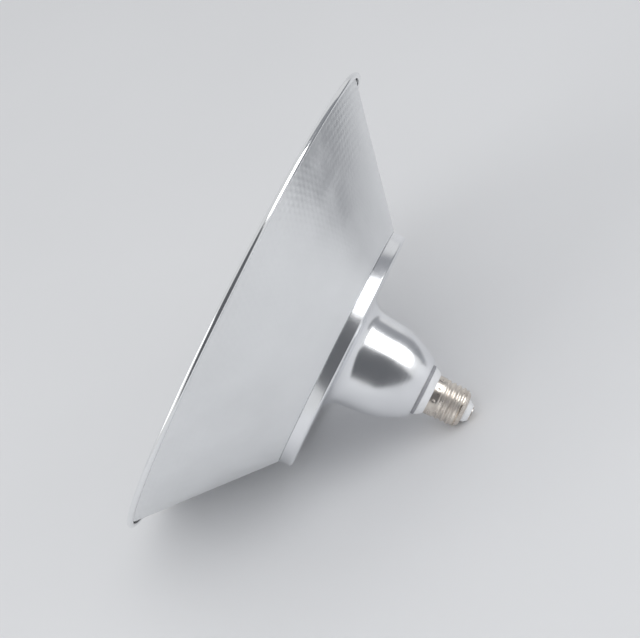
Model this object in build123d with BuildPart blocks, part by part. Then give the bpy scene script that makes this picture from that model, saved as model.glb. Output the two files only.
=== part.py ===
from build123d import *
import os
from math import asin, atan2, cos, degrees, hypot, radians, sin, sqrt, tan

# LED high-bay lamp with an Edison screw cap and a wide embossed aluminium shade.
# Millimetres. The lamp's axis is +Z. The open rim of the shade lies in z = 0 and the cap points up.

os.makedirs("parts", exist_ok=True)

# ---- Driving dimensions ----

# Shade, spun from sheet
rim_radius = 160.0          # over the rolled bead
shade_height = 66.5         # rim plane to the housing's band
shade_sheet = 0.8
bead_radius = 2.0           # outside radius of the rolled rim
bead_turn = 265.0           # how far the sheet is rolled round, degrees
shoulder_step = 0.4         # how far the shoulder stands out past the band
neck_flange_width = 9.6     # turned-in flange that the screws clamp
neck_bend = 1.0

# Housing, drawn from thicker sheet
band_radius = 80.7
band_height = 8.5
housing_sheet = 1.5
band_corner = 1.6
bell_foot_radius = 33.0
bell_foot_bend = 10.0
bell_taper = 5.5            # degrees
bell_straight = 21.3        # height of the tapered part
bell_height = 51.4          # flange to nose
nose_radius = 19.4
nose_corner = 1.0

# Screw cap, a standard E27
cap_crest_radius = 13.1
cap_root_radius = 12.05
cap_pitch = 3.629
cap_thread_height = 15.2
cap_skirt_radius = 13.15
cap_skirt_height = 5.1
cap_end_height = 2.9
cap_end_radius = 8.3
cap_wall = 0.4
cap_ridge_width = 2.9
cap_thread_start = 37.0     # where the thread begins round the shell, degrees
cap_lip = 0.9               # flat lip of the shell round the insulator
crimp_count = 10
crimp_start = 33.0          # the first dimple round the skirt, degrees
crimp_radius = 1.1
crimp_depth = 0.25
contact_radius = 4.8
contact_thickness = 0.6
contact_stem_radius = 1.4

# Cap holder and its fixing
collar_height = 4.9
collar_base_radius = 16.8
collar_top_radius = 13.9
collar_round = 0.4
gasket_thickness = 2.2
gasket_radius = 16.9
gasket_round = 0.5
spigot_radius = 12.0
lead_bore_radius = 8.3
nut_radius = 16.0
nut_height = 4.0
nut_notch = 2.4
nut_notch_count = 4
spigot_below_nut = 2.2
holder_headroom = 2.4       # room over the holder for the leads
insulator_height = 4.1
insulator_base_radius = 7.3
insulator_tip_radius = 5.4
insulator_tip_round = 0.5
insulator_flange = 1.4
stem_below_insulator = 1.0

# Light unit
spreader_thickness = 4.0
spreader_recess = 1.0
spreader_chamfer = 0.5
pad_thickness = 0.3
board_thickness = 1.6
board_edge_gap = 3.0        # LED board to the shade's neck flange
lead_hole_radius = 6.0
led_length = 3.5
led_width = 2.8
led_height = 0.8
led_first_ring = 20.0
led_ring_step = 11.0
led_ring_counts = [12, 18, 24, 32]
connector_length = 8.0
connector_width = 6.0
connector_height = 4.0
connector_offset = 12.0
connector_round = 0.4
diffuser_wall = 1.5
diffuser_rise = 4.5         # height of the dish's wall
diffuser_dome = 4.0         # how far its face bulges
diffuser_bend = 3.0

# Screws
screw_radius = 1.5
screw_head_radius = 2.8
screw_head_height = 2.0
screw_head_round = 0.8
screw_bite = 2.4            # how deep a screw goes into the spreader
screw_hole_depth = 3.0
board_screw_count = 6
board_screw_inset = 6.0
shade_screw_count = 6
drive_slot_length = 3.4
drive_slot_width = 0.8
drive_slot_depth = 1.1

# Driver
sleeve_gap = 3.0
sleeve_wall = 1.5
sleeve_neck_radius = 8.0
sleeve_neck_lap = 2.0       # how far the neck enters the cap holder
sleeve_shoulder = 8.0
sleeve_headroom = 7.5
driver_board_thickness = 1.6
driver_board_offset = 5.0   # board's middle plane from the lamp's axis
rib_thickness = 1.2
rib_depth = 2.6
disc_thickness = 1.0
lower_row_rise = 9.0        # driver board's bottom edge to its lower row of components
upper_row_drop = 7.0        # driver board's top edge to its upper row

# Driver's components; a place is measured across the board from the lamp's axis
core_width = 16.0
core_thickness = 5.0
core_leg = 4.6
window_width = 3.2
window_height = 10.0
coil_depth = 12.0
coil_corner = 1.2
input_can_place = -15.5
input_can_radius = 5.0
input_can_length = 16.0
output_can_place = 14.0
output_can_radius = 4.0
output_can_length = 12.0
can_round = 0.5
film_box_place = -12.5
film_box_length = 13.0
film_box_width = 5.0
film_box_height = 11.0
film_box_round = 0.4
drum_radius = 4.0
drum_flange = 1.2
drum_winding_radius = 3.5
drum_winding_height = 6.0
resistor_place = 6.5        # its inner end
resistor_radius = 2.0
resistor_length = 9.0
resistor_round = 0.8
varistor_place = 17.2       # its inner face
varistor_radius = 5.0
varistor_thickness = 3.8
varistor_round = 1.2
rectifier_place = -12.0
rectifier_length = 8.4
rectifier_width = 6.4
rectifier_height = 3.2
rectifier_draft = 4.0       # degrees
chip_place = 4.0
chip_length = 4.9
chip_width = 3.9
chip_height = 1.4
chip_lift = 0.2
pin_pitch = 1.27
pin_span = 4.6              # between the middles of the two rows of pins
pin_length = 1.4
pin_width = 0.4
pin_height = 0.7
pins_in_row = 4

# Leads
lead_radius = 0.8
lead_overlap = 2.5          # how far a lead lies on the board where it is soldered
mains_lead_spread = 3.0     # where they leave the board
mains_lead_spread_up = 2.2  # inside the sleeve's neck and the cap
mains_lead_rise = 1.0       # how far they stand above the board before they turn in
mains_lead_bend = 4.0
stem_bend = 3.0
stem_run = 2.5              # straight run down to the contact's stem
stem_turn_run = 4.5         # height in which the live lead turns in to the axis
led_lead_spread = 2.0
led_lead_bend = 2.5

# Clearances
slip_gap = 0.2              # parts that slide together by hand
drive_gap = 0.05            # parts that are pressed or screwed together
seat_gap = 0.1              # soldered or bonded faces

# ---- Levels and radii that follow ----

flange_top = shade_height + band_height
flange_under = flange_top - housing_sheet
spreader_bottom = flange_under - spreader_thickness
pad_bottom = spreader_bottom - pad_thickness
board_bottom = pad_bottom - board_thickness
neck_flange_bottom = spreader_bottom - shade_sheet
diffuser_seat = neck_flange_bottom - diffuser_wall
nose_top = flange_top + bell_height
collar_bottom = nose_top + gasket_thickness
skirt_bottom = collar_bottom + collar_height
skirt_top = skirt_bottom + cap_skirt_height
thread_top = skirt_top + cap_thread_height
shell_top = thread_top + cap_end_height
insulator_top = shell_top + insulator_height

band_inner = band_radius - housing_sheet
neck_radius = band_inner - slip_gap
neck_inner = neck_radius - shade_sheet
neck_hole_radius = neck_radius - neck_flange_width
shade_screw_ring = (neck_hole_radius + neck_inner) / 2
spreader_radius = band_inner - drive_gap
board_radius = neck_hole_radius - board_edge_gap
board_screw_ring = board_radius - board_screw_inset
screw_clear_radius = screw_radius + slip_gap
tapped_radius = screw_radius + drive_gap

taper_slope = tan(radians(bell_taper))
bell_shoulder_radius = bell_foot_radius - bell_straight * taper_slope
sleeve_radius = bell_shoulder_radius - housing_sheet - sleeve_gap
sleeve_bottom = flange_under - spreader_recess
spigot_bottom = nose_top - housing_sheet - nut_height - spigot_below_nut
sleeve_neck_top = spigot_bottom + sleeve_neck_lap
sleeve_straight_top = spigot_bottom - sleeve_headroom - sleeve_shoulder
shell_bore = cap_root_radius - cap_wall
skirt_bore = cap_skirt_radius - cap_wall
window_middle = (core_leg + window_width) / 2
stem_bottom = shell_top - cap_wall - insulator_flange - stem_below_insulator
holder_top = stem_bottom - holder_headroom


# ---- Shade ----

# One sheet: neck flange, neck, shoulder under the band, long cone, rolled rim.
half_shade = shade_sheet / 2
half_housing = housing_sheet / 2
shoulder_radius = band_radius + shoulder_step
shoulder_level = shade_height - half_shade
bead_centre_radius = rim_radius - bead_radius
bead_roll = bead_radius - half_shade
cone_run = bead_centre_radius - shoulder_radius
cone_drop = bead_radius - shoulder_level
cone_reach = hypot(cone_run, cone_drop)
cone_angle = degrees(atan2(cone_drop, cone_run) - asin(bead_roll / cone_reach))
cone_length = sqrt(cone_reach**2 - bead_roll**2)
cone_end = (
    shoulder_radius + cone_length * cos(radians(cone_angle)),
    shoulder_level + cone_length * sin(radians(cone_angle)),
)

with BuildPart() as reflector_shade:
    with BuildSketch(Plane.XZ):
        with BuildLine():
            FilletPolyline(
                (neck_hole_radius, neck_flange_bottom + half_shade),
                (neck_radius - half_shade, neck_flange_bottom + half_shade),
                (neck_radius - half_shade, shoulder_level),
                (shoulder_radius, shoulder_level),
                cone_end,
                radius=[neck_bend, neck_bend / 2, neck_bend],
            )
            CenterArc((bead_centre_radius, bead_radius), bead_roll, cone_angle - 90, bead_turn)
        trace(line_width=shade_sheet)
    revolve(axis=Axis.Z)
    with BuildSketch(Plane.XY.offset(neck_flange_bottom)):
        with PolarLocations(shade_screw_ring, shade_screw_count):
            Circle(screw_clear_radius)
    extrude(amount=shade_sheet, mode=Mode.SUBTRACT)
reflector_shade.part.label = "reflector_shade"
export_step(reflector_shade.part, "parts/reflector_shade.step")


# ---- Housing ----

# Band, flange and bell in one drawing, with a round hole in the nose for the cap holder.
wall_shift = half_housing / cos(radians(bell_taper))
foot_radius = bell_foot_radius + half_housing * taper_slope - wall_shift
bell_arc_start = (bell_shoulder_radius - wall_shift, flange_top + bell_straight)

with BuildPart() as lamp_housing:
    with BuildSketch(Plane.XZ):
        with BuildLine() as housing_line:
            FilletPolyline(
                (band_radius - half_housing, shade_height),
                (band_radius - half_housing, flange_top - half_housing),
                (foot_radius, flange_top - half_housing),
                bell_arc_start,
                radius=[band_corner - half_housing, bell_foot_bend + half_housing],
            )
            bell_arc = TangentArc(
                bell_arc_start,
                (nose_radius, nose_top - half_housing),
                tangent=(-taper_slope, 1),
            )
            Line(bell_arc @ 1, (spigot_radius + slip_gap, nose_top - half_housing))
            fillet(housing_line.vertices().sort_by_distance(bell_arc @ 1)[0], nose_corner)
        trace(line_width=housing_sheet)
    revolve(axis=Axis.Z)
lamp_housing.part.label = "lamp_housing"
export_step(lamp_housing.part, "parts/lamp_housing.step")


# ---- Light unit: spreader, pad, LED board, connector, diffuser and their screws ----

with BuildPart() as heat_spreader:
    with BuildSketch(Plane.XY.offset(spreader_bottom)):
        Circle(spreader_radius)
        Circle(lead_hole_radius, mode=Mode.SUBTRACT)
    extrude(amount=spreader_thickness)
    chamfer(heat_spreader.faces().sort_by(Axis.Z)[-1].outer_wire().edges(), spreader_chamfer)
    with BuildSketch(Plane.XY.offset(flange_under)):
        Circle(sleeve_radius + slip_gap)
    extrude(amount=-spreader_recess, mode=Mode.SUBTRACT)
    with BuildSketch(Plane.XY.offset(spreader_bottom)):
        with PolarLocations(board_screw_ring, board_screw_count):
            Circle(tapped_radius)
        with PolarLocations(shade_screw_ring, shade_screw_count):
            Circle(tapped_radius)
    extrude(amount=screw_hole_depth, mode=Mode.SUBTRACT)
heat_spreader.part.label = "heat_spreader"
export_step(heat_spreader.part, "parts/heat_spreader.step")

# The thermal pad and the LED board share one outline.
for disc_name, disc_bottom, disc_height in (
    ("thermal_pad", pad_bottom, pad_thickness),
    ("led_board", board_bottom, board_thickness),
):
    with BuildPart() as board_disc:
        with BuildSketch(Plane.XY.offset(disc_bottom)):
            Circle(board_radius)
            Circle(lead_hole_radius, mode=Mode.SUBTRACT)
            with PolarLocations(board_screw_ring, board_screw_count):
                Circle(screw_clear_radius, mode=Mode.SUBTRACT)
        extrude(amount=disc_height)
    board_disc.part.label = disc_name
    export_step(board_disc.part, f"parts/{disc_name}.step")

with BuildPart() as led_packages:
    with BuildSketch(Plane.XY.offset(board_bottom)):
        for ring, count in enumerate(led_ring_counts):
            with PolarLocations(led_first_ring + ring * led_ring_step, count):
                Rectangle(led_width, led_length)
    extrude(amount=-led_height)
led_packages.part.label = "led_packages"
export_step(led_packages.part, "parts/led_packages.step")

with BuildPart() as board_connector:
    with BuildSketch(Plane.XY.offset(board_bottom)):
        with Locations((0, -connector_offset)):
            Rectangle(connector_length, connector_width)
    extrude(amount=-connector_height)
    fillet(board_connector.faces().sort_by(Axis.Z)[0].edges(), connector_round)
board_connector.part.label = "board_connector"
export_step(board_connector.part, "parts/board_connector.step")

# Pan-head screws, heads down, each with a cross slot: one ring holds the LED board on the
# spreader, the other the diffuser and the shade.
for ring_name, ring_radius, ring_count, head_seat, grip in (
    ("board_screws", board_screw_ring, board_screw_count, board_bottom, board_thickness + pad_thickness),
    ("shade_screws", shade_screw_ring, shade_screw_count, diffuser_seat, diffuser_wall + shade_sheet),
):
    with BuildPart() as screw_ring:
        with BuildSketch(Plane.XY.offset(head_seat)):
            with PolarLocations(ring_radius, ring_count):
                Circle(screw_head_radius)
        extrude(amount=-screw_head_height)
        fillet(screw_ring.faces().filter_by(Plane.XY).group_by(Axis.Z)[0].edges(), screw_head_round)
        with BuildSketch(Plane.XY.offset(head_seat - screw_head_height)):
            with PolarLocations(ring_radius, ring_count):
                Rectangle(drive_slot_length, drive_slot_width)
                Rectangle(drive_slot_width, drive_slot_length)
        extrude(amount=drive_slot_depth, mode=Mode.SUBTRACT)
        with BuildSketch(Plane.XY.offset(head_seat)):
            with PolarLocations(ring_radius, ring_count):
                Circle(screw_radius)
        extrude(amount=grip + screw_bite)
    screw_ring.part.label = ring_name
    export_step(screw_ring.part, f"parts/{ring_name}.step")

# Frosted dish: flat flange under the shade's neck flange, short wall, shallow domed face.
half_dish = diffuser_wall / 2
dish_radius = shade_screw_ring - screw_head_radius - diffuser_wall
dish_face = diffuser_seat - diffuser_rise
dish_flange_radius = neck_inner - neck_bend

with BuildPart() as diffuser:
    with BuildSketch(Plane.XZ):
        with BuildLine() as dish_line:
            dome = TangentArc(
                (0, dish_face - diffuser_dome),
                (dish_radius, dish_face),
                tangent=(1, 0),
            )
            wall = Line(dome @ 1, (dish_radius, diffuser_seat + half_dish))
            Line(wall @ 1, (dish_flange_radius, diffuser_seat + half_dish))
            fillet(dish_line.vertices().sort_by_distance(dome @ 1)[0], diffuser_bend)
            fillet(dish_line.vertices().sort_by_distance(wall @ 1)[0], diffuser_wall)
        trace(line_width=diffuser_wall)
        # The traced wall runs on past the lamp's axis, and what lies beyond it is cut off.
        with BuildLine():
            Polyline((0, shade_height), (0, 0), (-rim_radius, 0), (-rim_radius, shade_height), close=True)
        make_face(mode=Mode.SUBTRACT)
    revolve(axis=Axis.Z)
    with BuildSketch(Plane.XY.offset(diffuser_seat)):
        with PolarLocations(shade_screw_ring, shade_screw_count):
            Circle(screw_clear_radius)
    extrude(amount=diffuser_wall, mode=Mode.SUBTRACT)
diffuser.part.label = "diffuser"
export_step(diffuser.part, "parts/diffuser.step")


# ---- Cap holder, gasket, lock nut and screw cap ----

with BuildPart() as nose_gasket:
    with BuildSketch(Plane.XY.offset(nose_top)):
        Circle(gasket_radius)
        Circle(spigot_radius + slip_gap, mode=Mode.SUBTRACT)
    extrude(amount=gasket_thickness)
    fillet(nose_gasket.edges().filter_by(GeomType.CIRCLE).sort_by(SortBy.RADIUS)[-2:], gasket_round)
nose_gasket.part.label = "nose_gasket"
export_step(nose_gasket.part, "parts/nose_gasket.step")

# Tapered collar with a spigot down through the nose and a stepped spigot up into the cap.
with BuildPart() as cap_holder:
    with BuildSketch(Plane.XZ):
        with BuildLine():
            Polyline(
                (lead_bore_radius, spigot_bottom),
                (spigot_radius, spigot_bottom),
                (spigot_radius, collar_bottom),
                (collar_base_radius, collar_bottom),
                (collar_top_radius, skirt_bottom),
                (skirt_bore - drive_gap, skirt_bottom),
                (skirt_bore - drive_gap, skirt_top - cap_wall - slip_gap),
                (shell_bore - drive_gap, skirt_top - cap_wall - slip_gap),
                (shell_bore - drive_gap, holder_top),
                (lead_bore_radius, holder_top),
                close=True,
            )
        make_face()
    revolve(axis=Axis.Z)
    collar_edges = cap_holder.edges().filter_by(GeomType.CIRCLE).filter_by(
        lambda edge: abs(edge.radius - collar_base_radius) < collar_round / 2
        or abs(edge.radius - collar_top_radius) < collar_round / 2
    )
    fillet(collar_edges, collar_round)
cap_holder.part.label = "cap_holder"
export_step(cap_holder.part, "parts/cap_holder.step")

with BuildPart() as lock_nut:
    with BuildSketch(Plane.XY.offset(nose_top - housing_sheet)):
        Circle(nut_radius)
        Circle(spigot_radius + drive_gap, mode=Mode.SUBTRACT)
        with PolarLocations(nut_radius, nut_notch_count):
            Rectangle(nut_notch, nut_notch, mode=Mode.SUBTRACT)
    extrude(amount=-nut_height)
lock_nut.part.label = "lock_nut"
export_step(lock_nut.part, "parts/lock_nut.step")

# Screw shell: plain skirt with punched dimples, rounded thread, domed end round the insulator.
diagonal = sin(radians(45))

with BuildPart() as cap_shell:
    with BuildSketch(Plane.XZ):
        with BuildLine():
            Polyline(
                (skirt_bore, skirt_bottom),
                (cap_skirt_radius, skirt_bottom),
                (cap_skirt_radius, skirt_top),
                (cap_root_radius, skirt_top),
                (cap_root_radius, thread_top),
            )
            shell_end = ThreePointArc(
                (cap_root_radius, thread_top),
                (
                    cap_end_radius + (cap_root_radius - cap_end_radius) * diagonal,
                    thread_top + cap_end_height * diagonal,
                ),
                (cap_end_radius, shell_top),
            )
            Polyline(
                shell_end @ 1,
                (cap_end_radius - cap_lip, shell_top),
                (cap_end_radius - cap_lip, shell_top - cap_wall),
                (cap_end_radius, shell_top - cap_wall),
            )
            inner_end = ThreePointArc(
                (cap_end_radius, shell_top - cap_wall),
                (
                    cap_end_radius + (shell_bore - cap_end_radius) * diagonal,
                    thread_top + (cap_end_height - cap_wall) * diagonal,
                ),
                (shell_bore, thread_top),
            )
            Polyline(
                inner_end @ 1,
                (shell_bore, skirt_top - cap_wall),
                (skirt_bore, skirt_top - cap_wall),
                (skirt_bore, skirt_bottom),
            )
        make_face()
    revolve(axis=Axis.Z)
    with BuildLine(Plane.XY.rotated((0, 0, cap_thread_start))) as thread_path:
        Helix(
            pitch=cap_pitch,
            height=cap_thread_height - cap_ridge_width + cap_wall,
            radius=cap_root_radius,
            center=(0, 0, skirt_top + (cap_ridge_width - cap_wall) / 2),
        )
    ridge_foot = thread_path.line @ 0
    outwards = (ridge_foot.X, ridge_foot.Y, 0)
    with BuildSketch(Plane(origin=ridge_foot, x_dir=outwards, z_dir=thread_path.line % 0)):
        with BuildLine():
            ridge = ThreePointArc(
                (-cap_wall / 2, -cap_ridge_width / 2),
                (cap_crest_radius - cap_root_radius, 0),
                (-cap_wall / 2, cap_ridge_width / 2),
            )
            Line(ridge @ 1, ridge @ 0)
        make_face()
    thread_ridge = sweep(path=thread_path.line, is_frenet=True, mode=Mode.PRIVATE)
    add(thread_ridge)
    with PolarLocations(cap_skirt_radius + crimp_radius - crimp_depth, crimp_count, crimp_start):
        with Locations((0, 0, skirt_bottom + cap_skirt_height / 2)):
            Sphere(crimp_radius, mode=Mode.SUBTRACT)
cap_shell.part.label = "cap_shell"
export_step(cap_shell.part, "parts/cap_shell.step")

# White insulator: flange inside the shell's end, tapered nose through it, hole for the contact.
with BuildPart() as cap_insulator:
    with BuildSketch(Plane.XZ):
        with BuildLine():
            Polyline(
                (contact_stem_radius + drive_gap, shell_top - cap_wall - insulator_flange),
                (cap_end_radius, shell_top - cap_wall - insulator_flange),
                (cap_end_radius, shell_top - cap_wall - drive_gap),
                (insulator_base_radius, shell_top - cap_wall - drive_gap),
                (insulator_base_radius, shell_top),
                (insulator_tip_radius, insulator_top),
                (contact_stem_radius + drive_gap, insulator_top),
                close=True,
            )
        make_face()
    revolve(axis=Axis.Z)
    tip_edges = cap_insulator.edges().filter_by(GeomType.CIRCLE).group_by(Axis.Z)[-1]
    fillet(tip_edges.sort_by(SortBy.RADIUS)[-1], insulator_tip_round)
cap_insulator.part.label = "cap_insulator"
export_step(cap_insulator.part, "parts/cap_insulator.step")

with BuildPart() as centre_contact:
    with BuildSketch(Plane.XY.offset(insulator_top)):
        Circle(contact_radius)
    extrude(amount=contact_thickness)
    fillet(centre_contact.faces().sort_by(Axis.Z)[-1].edges(), contact_thickness / 2)
    with BuildSketch(Plane.XY.offset(insulator_top)):
        Circle(contact_stem_radius)
    extrude(amount=-(insulator_top - stem_bottom))
centre_contact.part.label = "centre_contact"
export_step(centre_contact.part, "parts/centre_contact.step")


# ---- Driver: sleeve, disc, board and what is soldered on it ----

sleeve_bore = sleeve_radius - sleeve_wall
driver_bottom = sleeve_bottom + disc_thickness
driver_front = -driver_board_offset + driver_board_thickness / 2
driver_back = -driver_board_offset - driver_board_thickness / 2
driver_half_width = sqrt(sleeve_bore**2 - driver_back**2) - slip_gap
driver_top = sleeve_straight_top - sleeve_wall
driver_height = driver_top - driver_bottom

with BuildPart() as driver_sleeve:
    with BuildSketch(Plane.XZ):
        with BuildLine():
            Polyline(
                (sleeve_bore, sleeve_bottom),
                (sleeve_radius, sleeve_bottom),
                (sleeve_radius, sleeve_straight_top),
                (sleeve_neck_radius, sleeve_straight_top + sleeve_shoulder),
                (sleeve_neck_radius, sleeve_neck_top),
                (sleeve_neck_radius - sleeve_wall, sleeve_neck_top),
                (sleeve_neck_radius - sleeve_wall, sleeve_straight_top + sleeve_shoulder - sleeve_wall),
                (sleeve_bore, sleeve_straight_top - sleeve_wall),
                close=True,
            )
        make_face()
    revolve(axis=Axis.Z)
    with BuildSketch(Plane.XY.offset(driver_bottom)):
        for side in (-1, 1):
            for face, away in ((driver_front, 1), (driver_back, -1)):
                rib_middle = face + away * (slip_gap + rib_thickness / 2)
                rib_reach = sqrt(sleeve_bore**2 - rib_middle**2) + sleeve_wall / 2
                with Locations((side * (rib_reach - rib_depth / 2), rib_middle)):
                    Rectangle(rib_depth, rib_thickness)
    extrude(amount=driver_height)
driver_sleeve.part.label = "driver_sleeve"
export_step(driver_sleeve.part, "parts/driver_sleeve.step")

with BuildPart() as insulator_disc:
    with BuildSketch(Plane.XY.offset(sleeve_bottom)):
        Circle(sleeve_bore - slip_gap)
        Circle(lead_hole_radius, mode=Mode.SUBTRACT)
    extrude(amount=disc_thickness)
insulator_disc.part.label = "insulator_disc"
export_step(insulator_disc.part, "parts/insulator_disc.step")

with BuildPart() as driver_board:
    with BuildSketch(Plane.XZ.offset(-driver_back)):
        with Locations((0, driver_bottom + driver_height / 2)):
            Rectangle(2 * driver_half_width, driver_height)
    extrude(amount=-driver_board_thickness)
driver_board.part.label = "driver_board"
export_step(driver_board.part, "parts/driver_board.step")

# Components stand on the board's front, towards +Y, in a lower and an upper row.
lower_row = driver_bottom + lower_row_rise
upper_row = driver_top - upper_row_drop
front_seat = driver_front + seat_gap

# Two E-shaped ferrite halves, ground flat and glued, make a frame with a middle leg.
transformer_middle = front_seat + coil_depth / 2
with BuildPart() as transformer_core:
    with BuildSketch(Plane.XZ.offset(-transformer_middle)):
        with Locations((0, lower_row)):
            Rectangle(core_width, core_width)
        with Locations((-window_middle, lower_row), (window_middle, lower_row)):
            Rectangle(window_width, window_height, mode=Mode.SUBTRACT)
    extrude(amount=core_thickness / 2, both=True)
transformer_core.part.label = "transformer_core"
export_step(transformer_core.part, "parts/transformer_core.step")

with BuildPart() as transformer_coil:
    with BuildSketch(Plane.XY.offset(lower_row)):
        with Locations((0, transformer_middle)):
            RectangleRounded(2 * (window_middle + window_width / 2 - slip_gap), coil_depth, coil_corner)
            Rectangle(core_leg + 2 * drive_gap, core_thickness + 2 * drive_gap, mode=Mode.SUBTRACT)
    extrude(amount=window_height / 2 - slip_gap, both=True)
transformer_coil.part.label = "transformer_coil"
export_step(transformer_coil.part, "parts/transformer_coil.step")

for can_name, can_place, can_radius, can_length in (
    ("input_capacitor", input_can_place, input_can_radius, input_can_length),
    ("output_capacitor", output_can_place, output_can_radius, output_can_length),
):
    with BuildPart() as capacitor_can:
        with BuildSketch(Plane.XZ.offset(-front_seat)):
            with Locations((can_place, lower_row)):
                Circle(can_radius)
        extrude(amount=-can_length)
        fillet(capacitor_can.edges().filter_by(GeomType.CIRCLE), can_round)
    capacitor_can.part.label = can_name
    export_step(capacitor_can.part, f"parts/{can_name}.step")

with BuildPart() as film_capacitor:
    with BuildSketch(Plane.XZ.offset(-front_seat)):
        with Locations((film_box_place, upper_row)):
            Rectangle(film_box_length, film_box_width)
    extrude(amount=-film_box_height)
    fillet(film_capacitor.edges(), film_box_round)
film_capacitor.part.label = "film_capacitor"
export_step(film_capacitor.part, "parts/film_capacitor.step")

# Drum core with a winding between two flanges.
with BuildPart() as choke:
    drum_level = front_seat
    for layer_radius, layer_height in (
        (drum_radius, drum_flange),
        (drum_winding_radius, drum_winding_height),
        (drum_radius, drum_flange),
    ):
        with BuildSketch(Plane.XZ.offset(-drum_level)):
            with Locations((0, upper_row)):
                Circle(layer_radius)
        extrude(amount=-layer_height)
        drum_level += layer_height
choke.part.label = "choke"
export_step(choke.part, "parts/choke.step")

with BuildPart() as fusible_resistor:
    with BuildSketch(Plane.YZ.offset(resistor_place)):
        with Locations((front_seat + resistor_radius, upper_row + resistor_radius)):
            Circle(resistor_radius)
    extrude(amount=resistor_length)
    fillet(fusible_resistor.edges().filter_by(GeomType.CIRCLE), resistor_round)
fusible_resistor.part.label = "fusible_resistor"
export_step(fusible_resistor.part, "parts/fusible_resistor.step")

with BuildPart() as varistor:
    with BuildSketch(Plane.YZ.offset(varistor_place)):
        with Locations((front_seat + varistor_radius, upper_row)):
            Circle(varistor_radius)
    extrude(amount=varistor_thickness)
    fillet(varistor.edges().filter_by(GeomType.CIRCLE), varistor_round)
varistor.part.label = "varistor"
export_step(varistor.part, "parts/varistor.step")

back_seat = driver_back - seat_gap
with BuildPart() as bridge_rectifier:
    with BuildSketch(Plane.XZ.offset(-back_seat)):
        with Locations((rectifier_place, upper_row)):
            Rectangle(rectifier_length, rectifier_width)
    extrude(amount=rectifier_height, taper=rectifier_draft)
bridge_rectifier.part.label = "bridge_rectifier"
export_step(bridge_rectifier.part, "parts/bridge_rectifier.step")

with BuildPart() as driver_chip:
    with BuildSketch(Plane.XZ.offset(-back_seat + chip_lift)):
        with Locations((chip_place, lower_row)):
            Rectangle(chip_length, chip_width)
    extrude(amount=chip_height)
    with BuildSketch(Plane.XZ.offset(-back_seat)):
        with Locations((chip_place, lower_row)):
            with GridLocations(pin_pitch, pin_span, pins_in_row, 2):
                Rectangle(pin_width, pin_length)
    extrude(amount=pin_height)
driver_chip.part.label = "driver_chip"
export_step(driver_chip.part, "parts/driver_chip.step")


# ---- Leads ----

lead_middle = front_seat + lead_radius
sleeve_shoulder_top = sleeve_straight_top + sleeve_shoulder
neutral_level = (holder_top + stem_bottom) / 2
led_lead_level = board_bottom - connector_height / 2
connector_face = connector_width / 2 - connector_offset

# The live and neutral leads go from the top of the driver board up through the cap holder: the
# live lead to the contact's stem, the neutral lead out over the holder's end to the shell's wall.
# The positive and negative leads go from the bottom of the board down to the LED board's connector.
lead_routes = {
    "live_lead": (
        [
            (mains_lead_spread, lead_middle, driver_top - lead_overlap),
            (mains_lead_spread, lead_middle, driver_top + mains_lead_rise),
            (mains_lead_spread_up, 0, sleeve_shoulder_top),
            (mains_lead_spread_up, 0, holder_top - stem_run - stem_turn_run),
            (0, 0, holder_top - stem_run),
            (0, 0, stem_bottom),
        ],
        [mains_lead_bend, mains_lead_bend, mains_lead_bend, stem_bend],
    ),
    "neutral_lead": (
        [
            (-mains_lead_spread, lead_middle, driver_top - lead_overlap),
            (-mains_lead_spread, lead_middle, driver_top + mains_lead_rise),
            (-mains_lead_spread_up, 0, sleeve_shoulder_top),
            (-mains_lead_spread_up, 0, neutral_level),
            (drive_gap - shell_bore, 0, neutral_level),
        ],
        [mains_lead_bend, mains_lead_bend, stem_bend],
    ),
}
for lead_name, side in (("positive_lead", 1), ("negative_lead", -1)):
    lead_routes[lead_name] = (
        [
            (side * led_lead_spread, lead_middle, driver_bottom + lead_overlap),
            (side * led_lead_spread, lead_middle, led_lead_level),
            (side * led_lead_spread, connector_face, led_lead_level),
        ],
        [led_lead_bend],
    )

for lead_name, (corners, bends) in lead_routes.items():
    with BuildPart() as lead:
        with BuildLine() as route:
            FilletPolyline(*corners, radius=bends)
        with BuildSketch(Plane(origin=route.line @ 0, z_dir=route.line % 0)):
            Circle(lead_radius)
        sweep(path=route.line)
    lead.part.label = lead_name
    export_step(lead.part, f"parts/{lead_name}.step")
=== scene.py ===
from math import asin, atan2, cos, degrees, floor, hypot, pi, radians, sin, sqrt, tan

import bmesh
import bpy
from mathutils import Matrix, Vector


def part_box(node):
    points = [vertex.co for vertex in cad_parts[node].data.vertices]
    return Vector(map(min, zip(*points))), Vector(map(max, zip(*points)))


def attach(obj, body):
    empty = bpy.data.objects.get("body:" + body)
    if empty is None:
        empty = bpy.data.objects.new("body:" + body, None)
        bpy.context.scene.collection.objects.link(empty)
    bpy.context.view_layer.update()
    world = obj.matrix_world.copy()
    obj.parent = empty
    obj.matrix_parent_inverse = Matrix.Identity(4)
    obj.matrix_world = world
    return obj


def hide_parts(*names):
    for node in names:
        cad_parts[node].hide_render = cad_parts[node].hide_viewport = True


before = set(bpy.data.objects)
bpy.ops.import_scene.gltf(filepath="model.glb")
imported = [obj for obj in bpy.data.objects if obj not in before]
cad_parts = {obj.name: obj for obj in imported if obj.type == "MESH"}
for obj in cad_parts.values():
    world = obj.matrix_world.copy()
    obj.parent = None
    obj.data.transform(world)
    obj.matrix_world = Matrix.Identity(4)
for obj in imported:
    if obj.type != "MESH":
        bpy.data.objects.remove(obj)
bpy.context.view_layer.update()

MM = 0.001

# ---------------------------------------------------------------------------------------------
# Reflector shade. One disc of soft aluminium, rolled through embossing rollers so that it is
# hammered all over, spun into a wide cone, and its edge rolled outwards into a bead. A narrow
# neck and a turned-in flange at the top sit inside the housing's band.

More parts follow.
